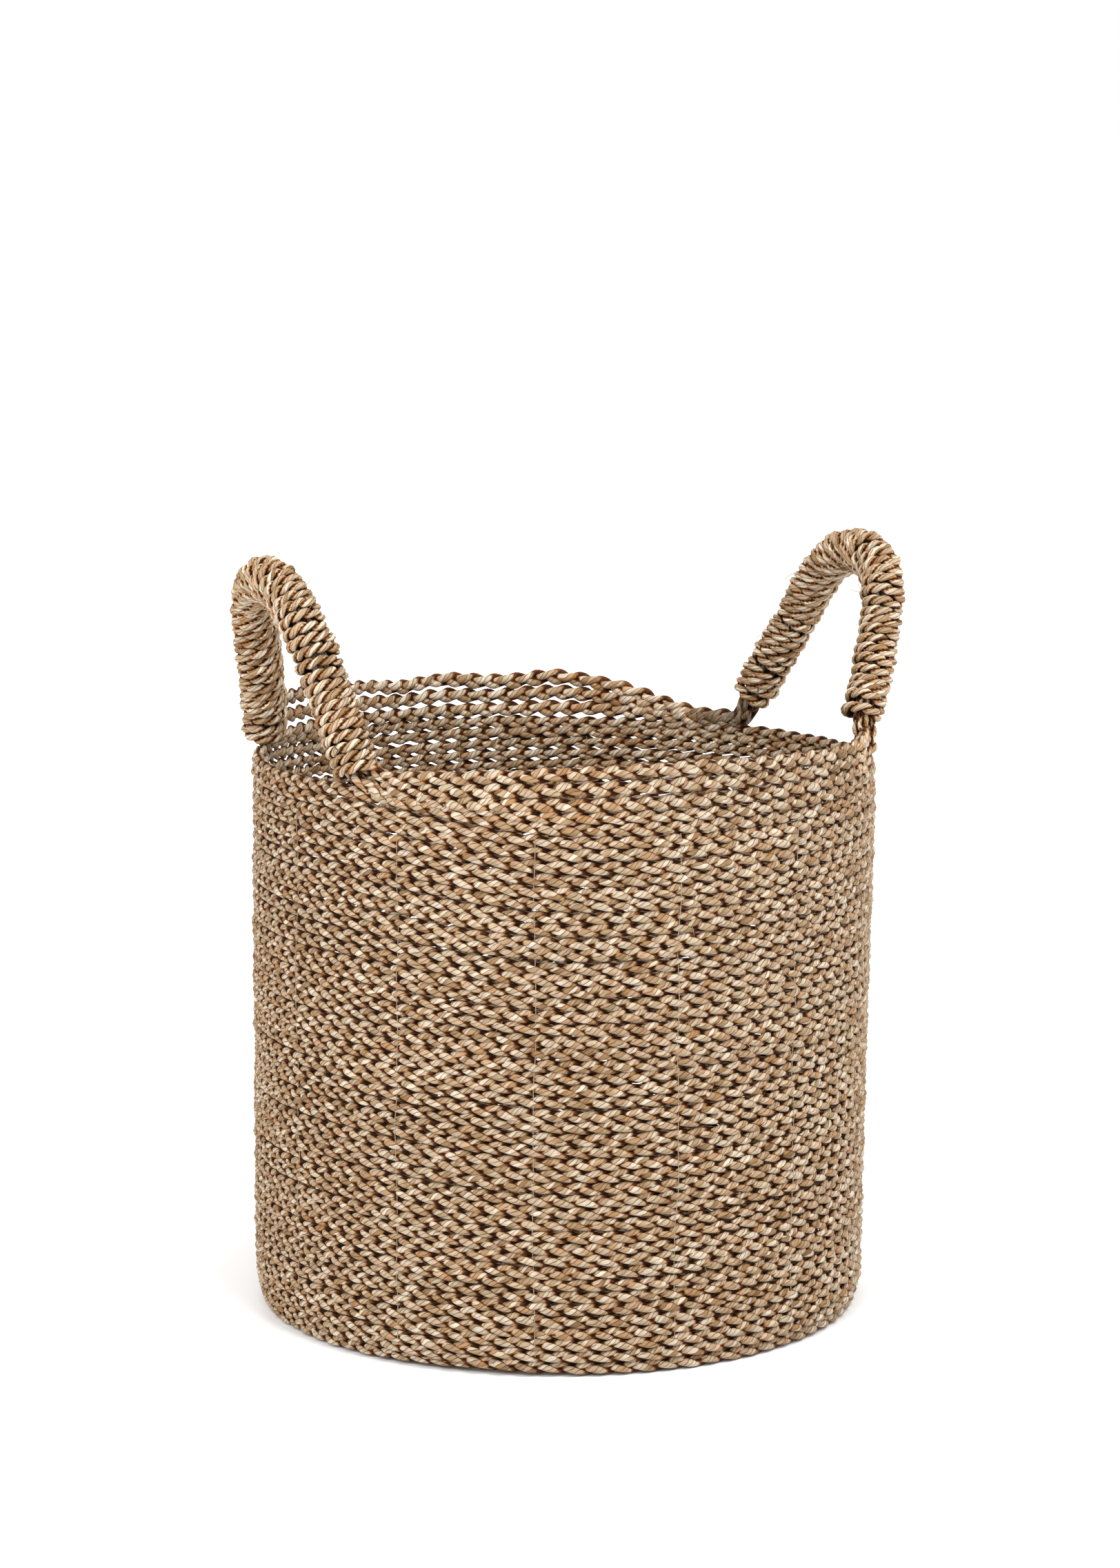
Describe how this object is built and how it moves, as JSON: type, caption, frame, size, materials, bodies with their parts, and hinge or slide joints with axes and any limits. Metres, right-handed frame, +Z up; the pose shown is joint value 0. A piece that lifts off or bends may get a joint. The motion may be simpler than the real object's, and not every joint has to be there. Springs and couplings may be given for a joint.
{
  "type": "seagrass storage basket",
  "caption": "Round plaited seagrass storage basket with a flat base, a straight wall, a rim raised at front and back, and two rope-wrapped loop handles that lean in and out.",
  "frame": {"origin": "centre of the basket's underside", "axes": "+Z up, X through the two handles, the right handle at +X, the front rim at -Y"},
  "size_m": [0.434, 0.4024, 0.4943],
  "materials": {
    "seagrass_plait": "dry plaited seagrass, straw to tan with brown crevices",
    "seagrass_rope": "dry two-ply twisted seagrass rope",
    "sewing_thread": "pale matt sewing thread"
  },
  "bodies": {
    "basket": {"base_coil": "seagrass_plait", "wall_plait_1": "seagrass_plait", "wall_plait_2": "seagrass_plait", "wall_plait_3": "seagrass_plait", "wall_plait_4": "seagrass_plait", "wall_plait_5": "seagrass_plait", "wall_plait_6": "seagrass_plait", "wall_plait_7": "seagrass_plait", "back_rim_plait_1": "seagrass_plait", "back_rim_plait_2": "seagrass_plait", "back_rim_plait_3": "seagrass_plait", "front_rim_plait_1": "seagrass_plait", "front_rim_plait_2": "seagrass_plait", "front_rim_plait_3": "seagrass_plait", "right_back_leg_root": "seagrass_plait", "right_front_leg_root": "seagrass_plait", "left_back_leg_root": "seagrass_plait", "left_front_leg_root": "seagrass_plait", "wall_stitching": "sewing_thread", "base_stitching": "sewing_thread"},
    "right_handle": {"right_handle_plait_1": "seagrass_plait", "right_handle_plait_2": "seagrass_plait", "right_handle_plait_3": "seagrass_plait", "right_handle_wrap": "seagrass_rope"},
    "left_handle": {"left_handle_plait_1": "seagrass_plait", "left_handle_plait_2": "seagrass_plait", "left_handle_plait_3": "seagrass_plait", "left_handle_wrap": "seagrass_rope"}
  },
  "joints": [
    {"name": "right_handle_bend", "type": "hinge", "parent": "basket", "child": "right_handle", "pos_m": [0.17351, 0, 0.376], "axis": [0, 1, 0], "range_deg": [-45, 40], "stiffness_Nm_per_rad": 2.5},
    {"name": "left_handle_bend", "type": "hinge", "parent": "basket", "child": "left_handle", "pos_m": [-0.17351, 0, 0.376], "axis": [0, -1, 0], "range_deg": [-45, 40], "stiffness_Nm_per_rad": 2.5}
  ]
}
